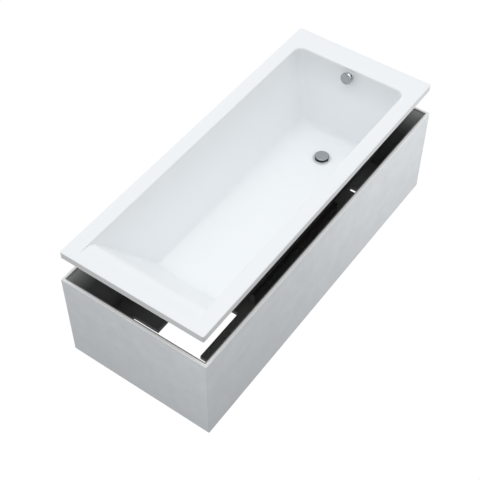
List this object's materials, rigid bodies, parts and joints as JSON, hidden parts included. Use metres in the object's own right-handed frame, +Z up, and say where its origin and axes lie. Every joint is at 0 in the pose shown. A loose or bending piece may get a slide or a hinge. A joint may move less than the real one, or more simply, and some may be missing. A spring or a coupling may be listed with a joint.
{
  "type": "bathtub",
  "caption": "Rectangular acrylic bathtub with a sloping backrest and a drain plug worked by an overflow knob, shown lifted out of its pale grey carrier box.",
  "frame": {"origin": "on the ground, under the centre of the carrier box", "axes": "+X along the tub from the backrest end to the drain end, +Y to the left, +Z up"},
  "size_m": [1.72, 0.728, 0.65],
  "materials": {
    "acrylic": "gloss white sanitary acrylic",
    "carrier_board": "rigid foam board with a pale mineral coat",
    "base_board": "dark grey fibre board",
    "timber": "raw board and batten",
    "chrome": "polished chrome plate",
    "steel": "stainless steel",
    "brass": "turned brass",
    "seal_rubber": "black rubber",
    "pad_rubber": "dark resilient strip",
    "pipe_plastic": "white polypropylene",
    "dark_plastic": "black polypropylene",
    "cable_sheath": "black cable sheath"
  },
  "bodies": {
    "carrier": {"carrier_wall_head": "carrier_board", "carrier_wall_foot": "carrier_board", "carrier_wall_left": "carrier_board", "carrier_wall_right": "carrier_board", "base_board_left": "base_board", "base_board_right": "base_board", "base_board_foot": "base_board", "cradle_left": "base_board", "cradle_right": "base_board", "cradle_pad_left": "pad_rubber", "cradle_pad_right": "pad_rubber"},
    "tub": {"tub_shell": "acrylic", "floor_board": "timber", "rim_batten_left": "timber", "rim_batten_right": "timber", "rim_batten_head": "timber", "rim_batten_foot": "timber", "drain_flange": "chrome", "drain_seal_upper": "seal_rubber", "drain_seal_lower": "seal_rubber", "waste_body": "pipe_plastic", "trap_slip_nut": "dark_plastic", "trap_body": "pipe_plastic", "trap_cleaning_cap": "dark_plastic", "trap_outlet_nut": "dark_plastic", "trap_outlet_pipe": "pipe_plastic", "overflow_pipe": "pipe_plastic", "overflow_pipe_clamps": "steel", "overflow_head": "pipe_plastic", "overflow_seal": "seal_rubber", "overflow_collar": "pipe_plastic", "overflow_screws": "steel", "control_cable": "cable_sheath"},
    "knob": {"overflow_knob": "chrome", "knob_spindle": "brass", "cable_drum": "pipe_plastic"},
    "plug": {"drain_plug": "chrome", "plug_seal": "seal_rubber", "plug_stem": "brass"}
  },
  "joints": [
    {"name": "tub_lift", "type": "slide", "parent": "carrier", "child": "tub", "axis": [0, 0, 1], "range_m": [-0.1377, 0.34]},
    {"name": "knob_turn", "type": "hinge", "parent": "tub", "child": "knob", "pos_m": [0.72675, 0, 0.606], "axis": [-0.9511, 0, 0.309], "range_deg": [0, 90]},
    {"name": "plug_lift", "type": "slide", "parent": "tub", "child": "plug", "axis": [0, 0, 1], "range_m": [-0.012, 0]}
  ],
  "couplings": [
    {"joint": "plug_lift", "follows": "knob_turn", "m_per_rad": -0.0076394}
  ]
}
